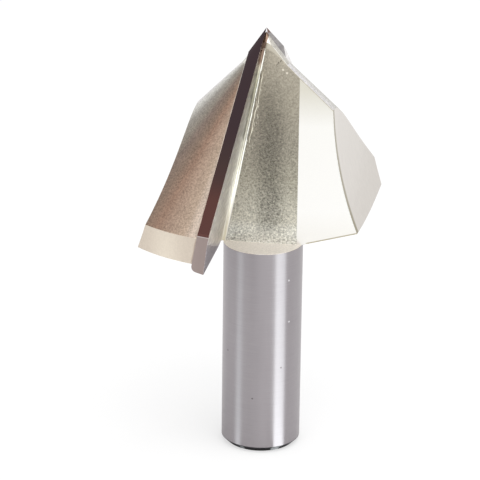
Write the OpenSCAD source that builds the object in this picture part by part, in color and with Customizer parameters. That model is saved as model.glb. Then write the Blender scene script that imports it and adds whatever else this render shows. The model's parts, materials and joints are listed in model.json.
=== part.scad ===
// Two-wing V groove router bit: a turned and milled steel body with two
// brazed carbide plates. The shank end stands on z = 0 and the point is up.
// Seen from the point the bit cuts anticlockwise.

/* [Shank] */
// Diameter of the shank
shank_d = 12.7; // [8:0.1:16]
// Length of the shank, from its end to the shoulder
shank_l = 34.3; // [20:0.1:60]
// Chamfer at the end of the shank
shank_chamfer = 0.85; // [0.3:0.05:1.5]

/* [Head] */
// Diameter of the cutting circle
cut_d = 50.8; // [46:0.1:60]
// Angle of the groove that the bit cuts
v_angle = 90; // [80:1:100]
// Radial step from the cutting circle down to the steel land
body_step = 0.8; // [0.3:0.05:1.5]
// Height of the straight steel land round the head
body_land = 4.2; // [2:0.1:8]
// Rise of the underside of the head, from the shoulder out to the land
under_angle = 13.5; // [5:0.5:20]
// Height of the carbide point above the point of the steel cone
point_rise = 2; // [1.4:0.1:3]

/* [Carbide plates] */
// Direction in which the first plate points, from +X
blade_turn = 251.4; // [0:0.1:360]
// Thickness of a plate
plate_t = 1.8; // [1.5:0.1:2.4]
// Hook angle of the rake face, about the cutting edge
hook = 15; // [8:0.5:20]
// Relief angle behind the cutting edge of the cone
cone_relief = 5; // [3:0.5:10]
// Relief angle behind the straight cutting edge
land_relief = 6; // [3:0.5:12]
// Height of the straight cutting edge below the cone
edge_land = 6.4; // [3:0.1:8]
// Slope of the lower edge of a plate, down towards the shank
plate_slope = 8.9; // [4:0.1:14]
// Rounding of the lower rear corner of a plate
plate_round = 0.8; // [0.2:0.1:1.2]
// Angle at which a plate's inner rear corner is ground off, from its rake face
corner_angle = 42; // [36:1:60]
// Depth below the cone at which the grinding of the rake face ends, at the edge
toe_depth = 1.4; // [0.5:0.1:2.5]
// Slope of the line where that grinding ends, down towards the shank
toe_slope = 21.7; // [19:0.1:26]
// Forward tilt of the unground toe below that line
toe_tilt = 4; // [1:0.5:6]

/* [Gullets] */
// Distance of the gullet floor from the axis
floor_depth = 1.05; // [0.8:0.05:1.5]
// Distance of the back flat from the axis
flat_depth = 1.67; // [1.5:0.01:2.2]
// Turn of the back flat from the blade
flat_turn = 17.3; // [14:0.1:22]
// Radius of the wheel that cuts the rear of each wing
wheel_r = 63; // [40:1:120]
// Distance of the rear of each wing from the axis, at its narrowest
wheel_depth = 10.65; // [9:0.05:13]
// Height of the wheel centre above the shoulder
wheel_rise = 25.3; // [18:0.1:32]
// Turn of the wheel from the blade
wheel_turn = 97.2; // [90:0.1:104]
// Tilt of the wheel's axis from level
wheel_tilt = 14.5; // [0:0.5:20]

/* [Braze] */
// Thickness of the braze behind and below a plate
braze_t = 0.12; // [0.05:0.01:0.25]
// Radius of the braze fillet between a plate and the gullet floor
braze_fillet = 0.7; // [0.4:0.05:1.2]
// Depth of the top of the braze cap below the carbide point
cap_drop = 0.65; // [0.4:0.05:1.2]
// Half angle of the braze cap
cap_half = 36; // [28:1:40]

/* [Hidden] */
$fn = 96;
wheel_fn = 180;
far = 200;
over = 1; // overrun of a cut past the face that it opens
shank_r = shank_d / 2;
cut_r = cut_d / 2;
body_r = cut_r - body_step;
v_half = v_angle / 2;
land_low_z = shank_l + (body_r - shank_r) * tan(under_angle);
land_top_z = land_low_z + body_land;
steel_point_z = land_top_z + body_r / tan(v_half);
point_z = steel_point_z + point_rise;
// The rake face holds the cutting edge and leans back from the vertical:
// rake_turn is the turn of its level line, rake_lean its lean.
rake_turn = atan(tan(hook) * cos(v_half));
rake_lean = asin(sin(hook) * sin(v_half));
// Heights along the rake face, down from the point
edge_top = cut_r / tan(v_half) / cos(rake_lean);
edge_low = edge_top + edge_land / cos(rake_lean);
toe_top = edge_top + toe_depth / cos(rake_lean);

// Steel blank before milling, as turned
module blank() {
    rotate_extrude()
        polygon([
            [0, 0],
            [shank_r - shank_chamfer, 0],
            [shank_r, shank_chamfer],
            [shank_r, shank_l],
            [body_r, land_low_z],
            [body_r, land_top_z],
            [0, steel_point_z]
        ]);
}

// Everything above a height
module above(height) {
    translate([-far / 2, -far / 2, height])
        cube(far);
}

// x runs out along the rake face, y is square to it and z climbs it
module on_rake(side) {
    rotate([0, 0, blade_turn + side * 180 + rake_turn])
        translate([0, 0, point_z])
            rotate([-rake_lean, 0, 0])
                children();
}

// x runs down the cutting edge and z is square to the cone that it sweeps
module on_edge(side) {
    rotate([0, 0, blade_turn + side * 180])
        translate([0, 0, point_z])
            rotate([0, 90 - v_half, 0])
                children();
}

// Space in front of a rake face: the floor, the back flat and the wheel cut
module gullet(side) {
    intersection() {
        on_rake(side)
            translate([-far / 2, 0, -far / 2])
                cube(far);
        above(shank_l);
        union() {
            on_rake(side)
                translate([floor_depth, -far / 2, -far / 2])
                    cube(far);
            rotate([0, 0, blade_turn + side * 180 + flat_turn])
                translate([flat_depth, -far / 2, 0])
                    cube(far);
            rotate([0, 0, blade_turn + side * 180 + wheel_turn])
                translate([wheel_depth + wheel_r, 0, shank_l + wheel_rise])
                    rotate([90 + wheel_tilt, 0, 0])
                        cylinder(h = far / 2, r = wheel_r, center = true, $fn = wheel_fn);
        }
    }
}

// Section of a plate with its rear corner ground off, grown by a margin behind
// and below; outside the gullet floor it is open to the front by front
module plate_section(margin, front) {
    polygon([
        [-margin / sin(corner_angle), 0],
        [(plate_t + margin) / tan(corner_angle) - margin / sin(corner_angle), -plate_t - margin],
        [far, -plate_t - margin],
        [far, front],
        [floor_depth, front],
        [floor_depth, 0]
    ]);
}

// The plate section all the way up the rake face
module plate_prism(side, margin, front) {
    on_rake(side)
        translate([0, 0, -far / 2])
            linear_extrude(far)
                plate_section(margin, front);
}

// Slot for a plate, with room for the braze behind and below it
module seat(side, front) {
    intersection() {
        plate_prism(side, braze_t, front);
        above(shank_l);
    }
}

// The space that a plate fills in its slot
module plate_space(side) {
    intersection() {
        plate_prism(side, 0, over);
        above(shank_l + braze_t);
    }
}

module body() {
    color([0.70, 0.68, 0.62])
        difference() {
            blank();
            for (side = [0, 1]) {
                gullet(side);
                seat(side, over);
            }
        }
}

// Ground outside of a plate: a cone and a cylinder, both laid back from the
// cutting edge by their relief
module flank(side) {
    intersection() {
        on_edge(side)
            rotate([cone_relief, 0, 0])
                rotate([0, v_half - 90, 0])
                    translate([0, 0, -far / 2])
                        cylinder(h = far / 2, r1 = far / 2 * tan(v_half), r2 = 0);
        rotate([0, 0, blade_turn + side * 180])
            translate([cut_r * (1 - cos(land_relief)), cut_r * sin(land_relief), 0])
                cylinder(h = far, r = cut_r);
    }
}

// Everything above the sloped lower edge of a plate, rounded at its rear
module above_lower_edge(side) {
    on_rake(side)
        translate([cut_r, 0, -edge_low])
            rotate([0, -plate_slope, 0])
                rotate([90, 0, -90])
                    linear_extrude(far, center = true)
                        translate([-far, 0])
                            lower_rear_profile();
}

// Quarter of a plane whose lower right corner, at the rear of a plate, is round
module lower_rear_profile() {
    difference() {
        square([far + plate_t, far]);
        translate([far + plate_t - plate_round, 0])
            difference() {
                square(plate_round);
                translate([0, plate_round])
                    circle(plate_round);
            }
    }
}

// Everything behind the rake face: the ground face above the toe line, and
// the unground toe below it, which tilts forward
module behind_rake(side) {
    on_rake(side) {
        translate([-far / 2, -far, -far / 2])
            cube(far);
        translate([cut_r, 0, -toe_top])
            rotate([0, -toe_slope, 0])
                rotate([toe_tilt, 0, 0])
                    translate([-far / 2, -far, -far])
                        cube(far);
    }
}

module plate(side) {
    color([0.40, 0.30, 0.31])
        intersection() {
            plate_space(side);
            flank(side);
            above_lower_edge(side);
            behind_rake(side);
        }
}

// Bright concave fillet at the foot of a rake face
module foot_fillet(side) {
    intersection() {
        on_rake(side)
            translate([floor_depth, 0, -far / 2])
                linear_extrude(far)
                    difference() {
                        square(braze_fillet);
                        translate([braze_fillet, braze_fillet])
                            circle(braze_fillet);
                    }
        above(shank_l);
        blank();
    }
}

// Layer behind and below a plate
module seat_film(side) {
    difference() {
        intersection() {
            seat(side, 0);
            blank();
        }
        plate_space(side);
    }
}

// Braze that fills the web up to the point, between the two plates: the half
// in front of one of them
module cap(side) {
    cap_h = point_z - cap_drop - land_top_z;
    difference() {
        intersection() {
            translate([0, 0, land_top_z])
                cylinder(h = cap_h, r1 = cap_h * tan(cap_half), r2 = 0);
            rotate([0, 0, blade_turn + side * 180 + rake_turn])
                translate([-far / 2, 0, 0])
                    cube(far);
        }
        blank();
        for (wing = [0, 1]) {
            gullet(wing);
            plate_space(wing);
        }
    }
}

module braze(side) {
    color([0.80, 0.77, 0.66])
        union() {
            seat_film(side);
            foot_fillet(side);
            cap(side);
        }
}

body();
plate(0);  // plate_1
plate(1);  // plate_2
braze(0);  // braze_1
braze(1);  // braze_2
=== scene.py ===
import json
import math

import bpy
from mathutils import Matrix, Vector


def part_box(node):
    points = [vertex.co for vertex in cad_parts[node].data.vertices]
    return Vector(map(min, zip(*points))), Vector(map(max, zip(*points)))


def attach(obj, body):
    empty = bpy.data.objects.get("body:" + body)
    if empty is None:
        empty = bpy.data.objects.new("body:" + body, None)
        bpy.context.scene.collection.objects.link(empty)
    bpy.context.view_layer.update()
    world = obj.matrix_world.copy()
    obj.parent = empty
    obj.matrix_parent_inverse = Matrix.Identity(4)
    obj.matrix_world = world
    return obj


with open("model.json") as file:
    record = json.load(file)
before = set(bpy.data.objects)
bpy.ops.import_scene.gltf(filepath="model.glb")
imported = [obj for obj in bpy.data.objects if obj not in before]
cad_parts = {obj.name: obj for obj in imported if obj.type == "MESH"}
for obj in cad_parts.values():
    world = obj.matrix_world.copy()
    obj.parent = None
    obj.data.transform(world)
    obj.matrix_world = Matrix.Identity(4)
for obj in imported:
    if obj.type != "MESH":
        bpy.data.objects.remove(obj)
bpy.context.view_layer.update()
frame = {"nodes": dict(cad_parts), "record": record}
print("frame loaded:", ", ".join(sorted(frame["nodes"])))

milli = 0.001                       # the frame is in metres, the sizes below in millimetres


def tone(red, green, blue):         # a screen colour, 0 to 255, as scene linear
    def linear(level):
        share = level / 255
        return share / 12.92 if share <= 0.04045 else ((share + 0.055) / 1.055) ** 2.4
    return (linear(red), linear(green), linear(blue), 1.0)


def heading(degrees):               # a level direction, from +X
    angle = math.radians(degrees)
    return (math.cos(angle), math.sin(angle), 0.0)


# Sizes of the bit that its finishes and braze follow, in millimetres and degrees
bit = {
    "shankRadius": 6.35,
    "shankChamfer": 0.85,
    "shoulder": 34.3,
    "landRadius": 24.6,
    "bladeTurn": 251.4,             # where the first plate points, from +X
    "hook": 15.0,
    "pointHalf": 45.0,              # half of the point's angle
    "plateThick": 1.8,
    "brazeThick": 0.12,
    "floorDepth": 1.05,             # gullet floor, from the axis
    "flatDepth": 1.67,
    "flatTurn": 17.3,               # back flat, from the plate
    "wheelTurn": 97.2,              # rear of the other wing, from the plate
    "underAngle": 13.5,
    "filletRadius": 0.7,
    "pointHeight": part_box("plate_1")[1][2] / milli,
    "steelPoint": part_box("body")[1][2] / milli,
}
rakeTurn = bit["bladeTurn"] + math.degrees(
    math.atan(math.tan(math.radians(bit["hook"])) * math.cos(math.radians(bit["pointHalf"]))))
rakeLean = math.asin(math.sin(math.radians(bit["hook"])) * math.sin(math.radians(bit["pointHalf"])))
landTop = bit["steelPoint"] - bit["landRadius"] / math.tan(math.radians(bit["pointHalf"]))


# One output socket with arithmetic on it: each operator adds a Math node
class Wire:
    def __init__(self, maker, socket):
        self.maker = maker
        self.socket = socket

    def math(self, operation, first, second=0.0):
        return self.maker.node("ShaderNodeMath", {"operation": operation}, {0: first, 1: second})

    def __add__(self, other):
        return self.math("ADD", self, other)

    def __radd__(self, other):
        return self.math("ADD", other, self)

    def __sub__(self, other):
        return self.math("SUBTRACT", self, other)

    def __rsub__(self, other):
        return self.math("SUBTRACT", other, self)

    def __mul__(self, other):
        return self.math("MULTIPLY", self, other)

    def __rmul__(self, other):
        return self.math("MULTIPLY", other, self)

    def __truediv__(self, other):
        return self.math("DIVIDE", self, other)

    def __pow__(self, other):
        return self.math("POWER", self, other)

    def size(self):
        return self.math("ABSOLUTE", self)

    def sign(self):
        return self.math("SIGN", self)

    def above(self, edge, soft):    # 0 below the edge, 1 above it
        return self.maker.node(
            "ShaderNodeMapRange", {"interpolation_type": "SMOOTHSTEP"},
            {"Value": self, "From Min": edge - soft, "From Max": edge + soft})

    def below(self, edge, soft):
        return 1.0 - self.above(edge, soft)

    def near(self, middle, reach, soft):
        return (self - middle).size().below(reach, soft)


# A node tree that is written one call a node
class Graph:
    def __init__(self, tree):
        self.tree = tree

    def node(self, kind, settings=None, inputs=None, output=0):
        made = self.tree.nodes.new(kind)
        for name, value in (settings or {}).items():
            if name == "stops":
                self.setStops(made.color_ramp, value)
            else:
                setattr(made, name, value)
        for key, value in (inputs or {}).items():
            self.feed(made.inputs[key], value)
        return Wire(self, made.outputs[output])

    def feed(self, socket, value):
        if isinstance(value, Wire):
            self.tree.links.new(value.socket, socket)
        else:
            socket.default_value = value

    def setStops(self, ramp, stops):
        while len(ramp.elements) < len(stops):
            ramp.elements.new(1.0)
        for element, (place, colour) in zip(ramp.elements, stops):
            element.position = place
            element.color = colour


# The nodes of one material
class Finish(Graph):
    def __init__(self, name):
        self.material = bpy.data.materials.new(name)
        self.material.use_nodes = True
        super().__init__(self.material.node_tree)
        self.tree.nodes.clear()

    def parts(self, vector):
        return [self.node("ShaderNodeSeparateXYZ", None, {0: vector}, axis) for axis in range(3)]

    # Object coordinates in millimetres, as a vector and as x, y, z
    def place(self):
        raw = self.node("ShaderNodeTexCoord", output="Object")
        spot = self.node("ShaderNodeVectorMath", {"operation": "SCALE"}, {0: raw, "Scale": 1 / milli})
        return (spot, *self.parts(spot))

    def normal(self):
        return self.node("ShaderNodeNewGeometry", output="True Normal")

    def along(self, vector, direction):
        return self.node("ShaderNodeVectorMath", {"operation": "DOT_PRODUCT"}, {0: vector, 1: direction}, "Value")

    # How far out along the rake face, and how far in front of it, on either wing
    def rakeSpot(self, spot, z):
        out = self.along(spot, heading(rakeTurn))
        wing = out.sign()
        level = self.along(spot, heading(rakeTurn + 90)) * wing
        front = level * math.cos(rakeLean) - (z - bit["pointHeight"]) * math.sin(rakeLean)
        return out * wing, front

    def noise(self, spot, scale, detail=2.0, roughness=0.5, stretch=(1, 1, 1)):
        spread = self.node("ShaderNodeVectorMath", {"operation": "MULTIPLY"}, {0: spot, 1: stretch})
        return self.node("ShaderNodeTexNoise", None, {
            "Vector": spread, "Scale": scale, "Detail": detail, "Roughness": roughness})

    def blend(self, share, under, over):    # colours
        return self.node("ShaderNodeMix", {"data_type": "RGBA"}, {"Factor": share, 6: under, 7: over}, 2)

    def shade(self, colour, factor):        # a colour made darker or lighter
        plain = colour if isinstance(colour, Wire) else colour[:3]
        return self.node("ShaderNodeVectorMath", {"operation": "SCALE"}, {0: plain, "Scale": factor})

    def ramp(self, value, stops):           # a colour for each of some values
        low, high = stops[0][0], stops[-1][0]
        places = [((at - low) / (high - low), tone(*colour)) for at, colour in stops]
        return self.node("ShaderNodeValToRGB", {"stops": places}, {0: (value - low) / (high - low)})

    # The worn edges: how far a rounded normal turns away from the flat one
    def edges(self, reach):
        soft = self.node("ShaderNodeBevel", {"samples": 4}, {"Radius": reach * milli})
        return (1.0 - self.along(soft, self.normal())).above(0.03, 0.02), soft

    def bump(self, height, strength, distance, normal):
        return self.node("ShaderNodeBump", None, {
            "Height": height, "Strength": strength, "Distance": distance * milli, "Normal": normal})

    def metal(self, **inputs):
        names = {"colour": "Base Color", "rough": "Roughness", "normal": "Normal",
                 "metallic": "Metallic", "anisotropic": "Anisotropic", "turn": "Anisotropic Rotation"}
        return self.node("ShaderNodeBsdfPrincipled", None,
                         {names[key]: value for key, value in inputs.items()})

    def mixed(self, share, under, over):    # shaders
        return self.node("ShaderNodeMixShader", None, {0: share, 1: under, 2: over})

    def close(self, shader):
        out = self.tree.nodes.new("ShaderNodeOutputMaterial")
        self.feed(out.inputs["Surface"], shader)
        return self.material


steelLook = {
    "grain": 3.3,                   # blasted grains to a millimetre
    "grainDepth": 0.05,
    "wornEdge": 0.1,
    # Painted reflection: colour of the cone against the angle behind the plate, in degrees
    "cone": [(7, (203, 187, 173)), (11, (181, 161, 143)), (17, (171, 148, 131)), (23, (154, 127, 110)),
             (29, (138, 119, 105)), (36, (134, 118, 108)), (43, (146, 138, 127)), (52, (153, 147, 139)),
             (64, (200, 198, 191)), (84, (222, 219, 219))],
    # Colours against the height: painted shade on the floor, darkest part way up and lightest at its foot
    "floor": [(34.3, (234, 235, 229)), (38, (181, 178, 166)), (45, (151, 147, 134)), (52, (142, 137, 125)),
              (58, (157, 151, 137)), (64, (180, 173, 158))],
    # Painted highlight: the back flat is near white, greyer at the top
    "flat": [(36, (235, 233, 228)), (40, (239, 238, 235)), (54, (238, 237, 233)), (60, (214, 211, 199))],
    "facet": (211, 206, 200),
    "land": (202, 190, 176),
    "ledge": (217, 210, 200),
    "under": (222, 214, 200),
    "edge": (238, 230, 212),
    "flatEdge": (166, 156, 130),
    "facetEdge": (146, 138, 114),
    # Painted shade on the chamfer at the foot of the shank
    "chamfer": (54, 53, 56),
    "ground": (158, 153, 156),
    # Across and up the floor
    "lightSpots": [(2.81, 63.1), (3.44, 62.6)],
    # Turn and height of the small marks on the shank
    "darkMarks": [(211.6, 16.7), (257.4, 9.5), (299.6, 14.7)],
    "lightMarks": [(310.9, 29.4), (312.4, 22.3)],
}


def steelFinish():
    f = Finish("blasted and ground steel")
    spot, x, y, z = f.place()
    normal = f.normal()
    nz = f.parts(normal)[2]
    radius = (x ** 2 + y ** 2) ** 0.5

    onFloor = f.along(normal, heading(rakeTurn)).size().above(0.9967, 0.001)
    onFlat = f.along(normal, heading(bit["bladeTurn"] + bit["flatTurn"])).size().above(0.9967, 0.001)
    onWheel = f.along(normal, heading(bit["bladeTurn"] + bit["wheelTurn"])).size().above(0.8, 0.02)
    onCone = nz.above(0.3, 0.05) * nz.below(0.92, 0.02)
    onUnder = nz.below(-0.9, 0.03)
    onLedge = nz.above(0.95, 0.02)
    edge, softNormal = f.edges(steelLook["wornEdge"])

    grain = f.noise(spot, steelLook["grain"], 2.0, 0.62)
    fine = f.noise(spot, steelLook["grain"] * 2.4, 1.0, 0.5)
    patch = f.noise(spot, 0.35, 2.0, 0.5)
    speckle = (grain - 0.5) * 1.0 + (fine - 0.5) * 0.5

    # Painted shade: the floor is darkest along its middle and in a low corner, and coarser lower down
    across = f.along(spot, heading(rakeTurn + 90)) * f.along(spot, heading(rakeTurn)).sign()
    middleShade = ((across - 1.0).size().above(1.9, 1.6) * 0.46 - 0.22) * z.below(59, 4) * z.above(36.5, 2)
    corner = across.below(-2.6, 1.6) * z.below(40, 5) * 0.2
    crack = ((z - 63.7) - (across - 1.7) * 1.06 + (grain - 0.5) * 0.8).near(0.0, 0.1, 0.06)
    crack = crack * across.near(2.3, 0.6, 0.1) * 0.45
    coarse = 2.1 - z.above(54, 8) * 1.1
    lit = 1.0 + middleShade - corner - crack + (patch - 0.5) * 0.25 + speckle * coarse
    floor = f.shade(f.ramp(z, steelLook["floor"]), lit)
    for sideways, height in steelLook["lightSpots"]:
        gap = ((across - sideways) ** 2 + (z - height) ** 2) ** 0.5
        floor = f.blend(gap.below(0.17, 0.06), floor, tone(228, 222, 208))
    # Painted reflection: the cone's colour follows the turn behind the plate, the same on both wings
    turn = f.node("ShaderNodeMath", {"operation": "ARCTAN2"}, {0: y, 1: x}) * (180 / math.pi)
    behind = f.node("ShaderNodeMath", {"operation": "FLOORED_MODULO"}, {0: bit["bladeTurn"] - turn, 1: 180.0})
    cone = f.shade(f.ramp(behind, steelLook["cone"]), 1.0 + speckle * 1.3 + (patch - 0.5) * 0.2)
    # Painted highlight on the back flat
    flat = f.shade(f.ramp(z, steelLook["flat"]), 1.0 + (fine - 0.5) * 0.05)
    brushed = f.noise(spot, 1.0, 2.0, 0.5, (2.5, 2.5, 0.12))
    facet = f.shade(tone(*steelLook["facet"]), 1.0 + (brushed - 0.5) * 0.14 + (fine - 0.5) * 0.06)

    colour = f.shade(tone(*steelLook["land"]), 1.0 + speckle * 0.22)
    colour = f.blend(onCone, colour, cone)
    colour = f.blend(onUnder, colour, tone(*steelLook["under"]))
    colour = f.blend(onLedge, colour, f.shade(tone(*steelLook["ledge"]), 1.0 + speckle * 0.6))
    colour = f.blend(onWheel, colour, facet)
    colour = f.blend(onFlat, colour, flat)
    colour = f.blend(onFloor, colour, floor)
    # Worn edges, and a dark line where the back flat meets the rear of the wing
    flatTurn = bit["bladeTurn"] + bit["flatTurn"]
    wing = f.along(spot, heading(bit["bladeTurn"] + bit["wheelTurn"])).sign()
    nearFlat = (f.along(spot, heading(flatTurn)) * wing).above(bit["flatDepth"] - 0.9, 0.2)
    under = bit["shoulder"] + (radius - bit["shankRadius"]) * math.tan(math.radians(bit["underAngle"]))
    nearUnder = (z - under).below(0.2, 0.05) * radius.above(7, 0.2)
    nearSkin = (radius + z).above(bit["steelPoint"] - 0.16, 0.05)
    colour = f.blend(edge * (1.0 - onWheel) * (1.0 - onFlat) * 0.7, colour, tone(*steelLook["edge"]))
    colour = f.blend((nearUnder + nearSkin * 0.6) * onFlat * 0.9, colour, tone(*steelLook["flatEdge"]))
    colour = f.blend(nearFlat * onWheel * 0.85, colour, tone(*steelLook["facetEdge"]))

    blasted = onFloor + onCone * 0.8 + onLedge
    rough = 0.34 + blasted * 0.12
    head = f.metal(colour=colour, rough=rough, metallic=1.0 - onLedge * 0.85,
                   normal=f.bump(grain * blasted, 0.55, steelLook["grainDepth"], softNormal))

    rings = f.noise(spot, 1.0, 3.0, 0.6, (0.3, 0.3, 14))
    tint = f.noise(spot, 0.5, 2.0, 0.5, (1, 1, 0.15))
    ground = f.shade(tone(*steelLook["ground"]), 1.0 + (rings - 0.5) * 0.22 + (tint - 0.5) * 0.12)
    # Painted shade: the shank's chamfer is near black
    ground = f.blend(z.below(bit["shankChamfer"] + 0.08, 0.04), ground, tone(*steelLook["chamfer"]))
    for marks, inked in (("darkMarks", tone(112, 106, 108)), ("lightMarks", tone(226, 224, 228))):
        for turned, height in steelLook[marks]:
            centre = Vector(heading(turned)) * bit["shankRadius"] + Vector((0, 0, height))
            gap = f.node("ShaderNodeVectorMath", {"operation": "DISTANCE"}, {0: spot, 1: centre}, "Value")
            ground = f.blend((gap + (fine - 0.5) * 0.2).below(0.14, 0.05), ground, inked)
    shank = f.metal(colour=ground, rough=0.36, metallic=1.0, anisotropic=0.92, turn=0.25,
                    normal=f.bump(rings, 0.08, 0.008, softNormal))
    onShank = radius.below(bit["shankRadius"] + 0.03, 0.01) * z.below(bit["shoulder"] - 0.03, 0.01)
    return f.close(f.mixed(onShank, head, shank))


carbideLook = {
    # Painted reflection: the outside of a plate, dark, against the height
    "flank": [(43, (96, 65, 61)), (48, (95, 64, 59)), (50.5, (79, 59, 57)), (53, (72, 57, 56)),
              (57, (66, 53, 56)), (69, (66, 54, 57))],
    "flankFoot": 43.55,             # height where the dark outside ends
    "straight": (149, 135, 131),
    "rake": [(36, (204, 196, 190)), (44, (198, 192, 190)), (54, (202, 197, 196)), (58, (184, 178, 175)),
             (62, (160, 150, 140)), (66, (146, 128, 113))],
    "toe": (155, 146, 149),
    "rear": (230, 226, 224),
    "corner": (159, 155, 154),
    "tip": (128, 102, 96),
}


def carbideFinish():
    f = Finish("ground carbide")
    spot, x, y, z = f.place()
    nz = f.parts(f.normal())[2]
    edge, softNormal = f.edges(0.07)
    # Marks of the grinding are drawn out along the rake face
    out, front = f.rakeSpot(spot, z)
    ground = f.node("ShaderNodeCombineXYZ", None, {0: out * 0.25, 1: front, 2: z})
    grain = f.noise(ground, 1.7, 2.0, 0.6)
    flecks = f.noise(ground, 1.3, 1.0, 0.4).above(0.6, 0.03)
    streaks = f.noise(spot, 1.0, 2.0, 0.5, (1.4, 1.4, 0.3))

    foot = carbideLook["flankFoot"]
    outside = nz.above(0.5, 0.05) + nz.size().below(0.04, 0.01)
    onFlank = outside * z.above(foot, 0.05)
    onStraight = outside * z.below(foot, 0.05)
    onRake = nz.near(-math.sin(rakeLean), 0.02, 0.005)
    onToe = (nz.above(-0.4, 0.02) * nz.below(-0.05, 0.01)) * (1.0 - onRake)

    worn = grain.above(0.5, 0.3) * z.below(63, 2)
    rake = f.shade(f.ramp(z, carbideLook["rake"]), 0.72 + worn * 0.56)
    rake = f.blend(flecks * z.below(62, 1) * 0.7, rake, tone(236, 232, 224))
    straight = f.shade(tone(*carbideLook["straight"]), 0.95 + streaks * 0.1)
    colour = f.blend(nz.near(0.14, 0.02, 0.01), tone(*carbideLook["rear"]), tone(*carbideLook["corner"]))
    colour = f.shade(colour, 0.5 + grain)
    colour = f.blend(z.above(68.6, 0.15), colour, tone(*carbideLook["tip"]))
    colour = f.blend(onToe, colour, tone(*carbideLook["toe"]))
    colour = f.blend(onStraight, colour, straight)
    colour = f.blend(onRake, colour, rake)
    # Painted reflection: the mirror-smooth outside of the plate is dark, red-brown lower down
    colour = f.blend(onFlank, colour, f.ramp(z, carbideLook["flank"]))
    colour = f.blend(edge * (1.0 - onFlank) * 0.6, colour, tone(214, 206, 212))
    colour = f.blend(z.near(foot, 0.05, 0.03) * outside * 0.7, colour, tone(206, 198, 196))
    rough = 0.3 - onFlank * 0.16
    return f.close(f.metal(colour=colour, rough=rough, metallic=1.0,
                           normal=f.bump(grain * onRake, 0.4, 0.03, softNormal)))


brazeLook = {
    "fillet": [(35, (222, 217, 196)), (41, (232, 228, 216)), (47, (176, 171, 158)), (52, (143, 138, 127)),
               (57, (122, 117, 104)), (61, (134, 129, 112)), (64, (176, 170, 154))],
    "seam": (186, 170, 156),        # behind and below the plate
    # Painted highlight along both sides of the fillet and the ridge of the cap
    "line": (250, 248, 240),        # along both sides of the fillet
    "run": (196, 190, 175),         # runs and drops on the floor
    "cap": (204, 200, 191),
    "burnt": (116, 96, 84),       # beside the plate at the point
}


def brazeFinish():
    f = Finish("silver braze")
    spot, x, y, z = f.place()
    nz = f.parts(f.normal())[2]
    out, front = f.rakeSpot(spot, z)
    lumps = f.noise(spot, 1.6, 2.0, 0.5)
    grain = f.noise(spot, 2.6, 3.0, 0.6)
    wander = (lumps - 0.5) * 0.1
    radius = bit["filletRadius"]
    ahead = front.above(-0.05, 0.03)
    onCap = nz.above(0.3, 0.05) * z.above(62, 1)
    # Painted highlights: white lines along the cap's ridge and both sides of the fillet
    capHighlight = onCap * (out + wander).near(bit["floorDepth"], 0.12, 0.05) * z.below(66.6, 0.3)
    floorHighlight = (front + wander).near(radius * 0.86, 0.1, 0.05) * z.below(66, 0.5)
    rakeHighlight = (out + wander).above(bit["floorDepth"] + radius * 0.42, 0.06) * front.below(0.3, 0.05) * ahead
    rakeHighlight = rakeHighlight * (0.75 - z.above(51, 3) * 0.5)
    burnt = (front - (z - 65.0) * 0.04).below(0.5, 0.06) * ahead * z.above(63.5, 1)

    colour = f.shade(f.ramp(z, brazeLook["fillet"]), 0.9 + lumps * 0.2)
    colour = f.blend(ahead, tone(*brazeLook["seam"]), colour)
    colour = f.blend(front.above(radius * 1.1, 0.03), colour, tone(*brazeLook["run"]))
    colour = f.blend(onCap, colour, f.shade(tone(*brazeLook["cap"]), 0.4 + grain * 1.1))
    colour = f.blend(rakeHighlight, colour, tone(*brazeLook["line"]))
    colour = f.blend(burnt, colour, f.shade(tone(*brazeLook["burnt"]), 0.8 + lumps * 0.4))
    colour = f.blend(floorHighlight + capHighlight, colour, tone(*brazeLook["line"]))
    soft = f.edges(0.05)[1]
    return f.close(f.metal(colour=colour, rough=0.3, metallic=1.0 - z.below(42, 4) * 0.6,
                           normal=f.bump(lumps, 0.25, 0.08, soft)))


finishes = {"steel": steelFinish(), "carbide": carbideFinish(), "braze": brazeFinish()}
nodeSlots = {row["node"]: row["material_slot"] for row in frame["record"]["subparts"]}
for name, piece in frame["nodes"].items():
    piece.data.materials.clear()
    piece.data.materials.append(finishes[nodeSlots[name]])
print("finishes on the CAD nodes")


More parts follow.
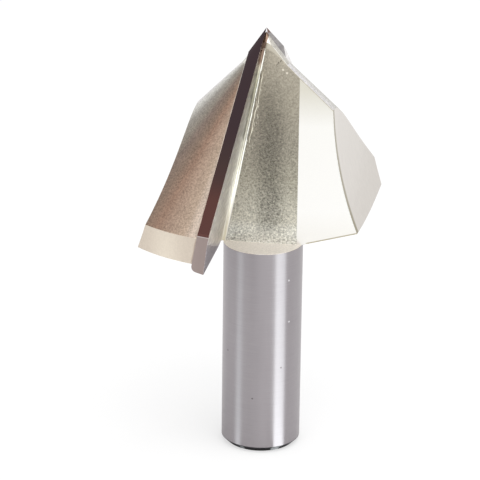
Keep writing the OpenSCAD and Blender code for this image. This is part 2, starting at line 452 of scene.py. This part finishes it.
# A geometry tree with named inputs, run once on a mesh and left as a plain mesh
class Rig(Graph):
    def __init__(self, name, values):
        super().__init__(bpy.data.node_groups.new(name, "GeometryNodeTree"))
        self.values = values
        face = self.tree.interface
        face.new_socket(name="Path", in_out="INPUT", socket_type="NodeSocketGeometry")
        self.sockets = {key: face.new_socket(name=key, in_out="INPUT", socket_type="NodeSocketFloat")
                        for key in values}
        face.new_socket(name="Made", in_out="OUTPUT", socket_type="NodeSocketGeometry")
        self.entry = self.tree.nodes.new("NodeGroupInput")
        self.path = Wire(self, self.entry.outputs["Path"])

    def value(self, key):
        return Wire(self, self.entry.outputs[key])

    # The shape with its half turn round the axis, which is the other wing's
    def finish(self, shape, material):
        turned = self.node("GeometryNodeTransform", None, {"Geometry": shape, "Rotation": (0, 0, math.pi)})
        both = self.tree.nodes.new("GeometryNodeJoinGeometry")
        self.feed(both.inputs[0], turned)
        self.feed(both.inputs[0], shape)
        plain = self.node("GeometryNodeRealizeInstances", None, {0: Wire(self, both.outputs[0])})
        smooth = self.node("GeometryNodeSetShadeSmooth", None, {0: plain})
        dressed = self.node("GeometryNodeSetMaterial", None, {"Geometry": smooth, "Material": material})
        exitNode = self.tree.nodes.new("NodeGroupOutput")
        self.feed(exitNode.inputs[0], dressed)

    def run(self, name, points):
        mesh = bpy.data.meshes.new(name + "Path")
        mesh.from_pydata(points, [(at, at + 1) for at in range(len(points) - 1)], [])
        carrier = bpy.data.objects.new(name + "Path", mesh)
        bpy.context.scene.collection.objects.link(carrier)
        rigged = carrier.modifiers.new("rig", "NODES")
        rigged.node_group = self.tree
        for key, value in self.values.items():
            rigged[self.sockets[key].identifier] = value
        graph = bpy.context.evaluated_depsgraph_get()
        made = bpy.data.meshes.new_from_object(carrier.evaluated_get(graph))
        bpy.data.objects.remove(carrier)
        piece = bpy.data.objects.new(name, made)
        bpy.context.scene.collection.objects.link(piece)
        return piece


# A point on the first wing: so far in front of its rake face, and so far out
# along it or, with None, out to the turned skin of the head
def offRake(out, front, height):
    climb = (height - bit["pointHeight"] + front * math.sin(rakeLean)) / math.cos(rakeLean)
    level = front * math.cos(rakeLean) + climb * math.sin(rakeLean)
    if out is None:
        skin = min(bit["landRadius"], bit["steelPoint"] - height)
        out = math.sqrt(skin ** 2 - level ** 2)
    spot = Vector(heading(rakeTurn)) * out + Vector(heading(rakeTurn + 90)) * level
    return (spot.x * milli, spot.y * milli, height * milli)


# Beads of braze. Sizes are in millimetres, Swell is a share of the radius
beads = {
    "rearBead": {"Step": 0.4, "Radius": 0.13, "Swell": 0.6, "Wander": 0.08},
    "floorRun": {"Step": 0.3, "Radius": 0.13, "Swell": 1.1, "Wander": 0.34},
}


def bead(name, path):
    rig = Rig(name, {key: value if key == "Swell" else value * milli for key, value in beads[name].items()})
    curve = rig.node("GeometryNodeMeshToCurve", None, {0: rig.path})
    even = rig.node("GeometryNodeResampleCurve", {"mode": "LENGTH"}, {"Curve": curve, "Length": rig.value("Step")})
    spot = rig.node("GeometryNodeInputPosition")
    bumpy = rig.node("ShaderNodeTexNoise", None, {"Vector": spot, "Scale": 900.0, "Detail": 1.0})
    drift = rig.node("ShaderNodeTexNoise", None, {"Vector": spot, "Scale": 400.0, "Detail": 1.0}, "Color")
    centred = rig.node("ShaderNodeVectorMath", {"operation": "SUBTRACT"}, {0: drift, 1: (0.5, 0.5, 0.5)})
    offset = rig.node("ShaderNodeVectorMath", {"operation": "SCALE"}, {
        0: centred, "Scale": rig.value("Wander") * 2.0})
    moved = rig.node("GeometryNodeSetPosition", None, {"Geometry": even, "Offset": offset})
    swell = 1.0 + (bumpy - 0.5) * 2.0 * rig.value("Swell")
    ring = rig.node("GeometryNodeCurvePrimitiveCircle", None, {"Resolution": 8, "Radius": 1.0})
    tube = rig.node("GeometryNodeCurveToMesh", None, {
        "Curve": moved, "Profile Curve": ring, "Scale": rig.value("Radius") * swell, "Fill Caps": True})
    rig.finish(tube, finishes["braze"])
    return rig.run(name, path)


def heights(low, high):
    return [low + share * (high - low) / 40 for share in range(41)]


# Along the back of each plate, over its slot
def rearBead():
    behind = -bit["plateThick"] - bit["brazeThick"]
    return bead("rearBead", [offRake(None, behind, at) for at in heights(landTop - 4, bit["steelPoint"] - 3)])


# On the floor beside the fillet
def floorRun():
    return bead("floorRun", [offRake(bit["floorDepth"], 1.0, at) for at in heights(51, 62.5)])


spatter = {
    "Spacing": 0.3,                 # millimetres between drops along the seam
    "Reach": 1.1,                   # how far they spread over the floor
    "Size": 0.13,
    "Seed": 7,
}


# Drops of braze on the floor beside the fillet, thicker towards the point
def floorSpatter():
    rig = Rig("floor spatter", {"Spacing": spatter["Spacing"] * milli, "Reach": spatter["Reach"] * milli,
                                "Size": spatter["Size"] * milli})
    curve = rig.node("GeometryNodeMeshToCurve", None, {0: rig.path})
    points = rig.node("GeometryNodeCurveToPoints", {"mode": "LENGTH"}, {"Curve": curve, "Length": rig.value("Spacing")})
    out = Vector(heading(rakeTurn))
    across = Vector(heading(rakeTurn + 90))

    def chance(low, high, offset):
        return rig.node("FunctionNodeRandomValue", {"data_type": "FLOAT"},
                        {2: low, 3: high, "Seed": spatter["Seed"] + offset}, 1)

    side = chance(0.0, 1.0, 0) ** 1.6 * rig.value("Reach")
    shift = rig.node("ShaderNodeVectorMath", {"operation": "SCALE"}, {0: across, "Scale": side})
    spread = rig.node("GeometryNodeSetPosition", None, {"Geometry": points, "Offset": shift})
    drop = rig.node("GeometryNodeMeshIcoSphere", None, {"Radius": 1.0, "Subdivisions": 2})
    flatDrop = rig.node("GeometryNodeTransform", None, {"Geometry": drop, "Scale": (1.0, 1.0, 0.3)})
    size = rig.value("Size") * (0.4 + chance(0.0, 1.0, 1) ** 3.0 * 1.1)
    spot = rig.node("GeometryNodeInputPosition")
    height = rig.node("ShaderNodeSeparateXYZ", None, {0: spot}, 2)
    size = size * height.above(0.047, 0.008)
    stretched = rig.node("ShaderNodeCombineXYZ", None, {0: size, 1: size * (1.0 + chance(0.0, 1.0, 2) * 2.4), 2: size})
    tilt = tuple(out.to_track_quat("Z", "Y").to_euler())
    placed = rig.node("GeometryNodeInstanceOnPoints", None, {
        "Points": spread, "Instance": flatDrop, "Rotation": tilt, "Scale": stretched})
    rig.finish(placed, finishes["braze"])
    return rig.run("floorSpatter", [offRake(bit["floorDepth"], bit["filletRadius"], at) for at in heights(42, 65)])


for made in (rearBead(), floorRun(), floorSpatter()):
    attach(made, "root")
    print("made", made.name, len(made.data.polygons), "faces")

studio = {
    "floorSize": 3.0,
    "floorColour": tone(238, 238, 238),
    "worldStrength": 1.0,
    "keyPower": 2.2,
    "keySize": 0.5,
    # Glowing wedges of the floor, seen only in reflections, which paint the bright streaks on the shank:
    # the x and y of their tips, then turn, half width, softness and strength
    "glow": [(0.64, -4.03, -34.5, 16.0, 1.5, 4.0), (-1.24, -4.33, -161.0, 8.0, 6.0, 2.1)],
    "glowReach": 130,               # millimetres from the bit
}


def floorPiece():
    half = studio["floorSize"] / 2
    mesh = bpy.data.meshes.new("floor")
    mesh.from_pydata([(-half, -half, 0), (half, -half, 0), (half, half, 0), (-half, half, 0)], [], [(0, 1, 2, 3)])
    floor = bpy.data.objects.new("floor", mesh)
    bpy.context.scene.collection.objects.link(floor)
    f = Finish("pale floor")
    spot, x, y, z = f.place()
    matt = f.node("ShaderNodeBsdfDiffuse", None, {"Color": studio["floorColour"]})
    white = f.node("ShaderNodeEmission", None, {"Color": (1, 1, 1, 1), "Strength": 1.0})
    seen = f.node("ShaderNodeLightPath", output="Is Camera Ray")
    mirrored = f.node("ShaderNodeLightPath", output="Is Glossy Ray")
    surface = f.mixed(seen * 0.6, matt, white)
    reach = ((x ** 2 + y ** 2) ** 0.5).below(studio["glowReach"], 30)
    # Painted light: glowing wedges that only mirrored rays see
    for tipX, tipY, middle, wide, soft, strength in studio["glow"]:
        turn = f.node("ShaderNodeMath", {"operation": "ARCTAN2"}, {0: y - tipY, 1: x - tipX}) * (180 / math.pi)
        glow = f.node("ShaderNodeEmission", None, {"Color": (0.94, 1, 1, 1), "Strength": strength})
        surface = f.mixed(turn.near(middle, wide, soft) * reach * mirrored, surface, glow)
    mesh.materials.append(f.close(surface))


def worldLight():
    world = bpy.data.worlds.new("studio")
    bpy.context.scene.world = world
    world.use_nodes = True
    g = Graph(world.node_tree)
    seen = g.node("ShaderNodeLightPath", output="Is Camera Ray")
    backdrop = world.node_tree.nodes["Background"]
    backdrop.inputs["Color"].default_value = (1, 1, 1, 1)
    g.feed(backdrop.inputs["Strength"], studio["worldStrength"] + seen * (1 - studio["worldStrength"]))


def areaLamp(name, place, aim, power, size):
    lamp = bpy.data.lights.new(name, "AREA")
    lamp.shape = "RECTANGLE"
    lamp.size, lamp.size_y = size
    lamp.energy = power
    made = bpy.data.objects.new(name, lamp)
    made.location = place
    made.rotation_euler = (Vector(aim) - Vector(place)).to_track_quat("-Z", "Y").to_euler()
    bpy.context.scene.collection.objects.link(made)


shot = {
    "aimHeight": 0.036,             # point on the axis that the camera circles
    "distance": 0.42146,
    "elevation": 20.49,
    "panRight": 0.504,              # turns of the camera that put the bit off centre
    "tiltUp": 0.2161,
    "roll": 0.89,
    "lens": 198.9,
    "sensor": 36.0,
}


def shotCamera():
    camera = bpy.data.objects.new("camera", bpy.data.cameras.new("camera"))
    camera.data.sensor_width = shot["sensor"]
    camera.data.lens = shot["lens"]
    camera.data.clip_start = 0.01
    rise = math.radians(shot["elevation"])
    back = Vector((0, -math.cos(rise), math.sin(rise)))
    rows = Matrix(((1, 0, 0), (0, math.sin(rise), math.cos(rise)), tuple(-back)))
    tilt = math.radians(shot["tiltUp"])
    pan = math.radians(shot["panRight"])
    tilted = Matrix(((1, 0, 0), (0, math.cos(tilt), math.sin(tilt)), (0, -math.sin(tilt), math.cos(tilt))))
    panned = Matrix(((math.cos(pan), 0, math.sin(pan)), (0, 1, 0), (-math.sin(pan), 0, math.cos(pan))))
    right, above, ahead = panned @ tilted @ rows
    roll = math.radians(shot["roll"])
    axes = (math.cos(roll) * right + math.sin(roll) * above,
            math.cos(roll) * above - math.sin(roll) * right, -ahead)
    turn = Matrix(axes).transposed()
    place = Vector((0, 0, shot["aimHeight"])) + back * shot["distance"]
    camera.matrix_world = Matrix.Translation(place) @ turn.to_4x4()
    bpy.context.scene.collection.objects.link(camera)
    bpy.context.scene.camera = camera


floorPiece()
worldLight()
areaLamp("key", (0.15, -0.2, 0.65), (0, 0, 0.04), studio["keyPower"], (studio["keySize"], studio["keySize"]))
shotCamera()
bpy.context.scene.view_settings.view_transform = "Standard"
print("stage set")
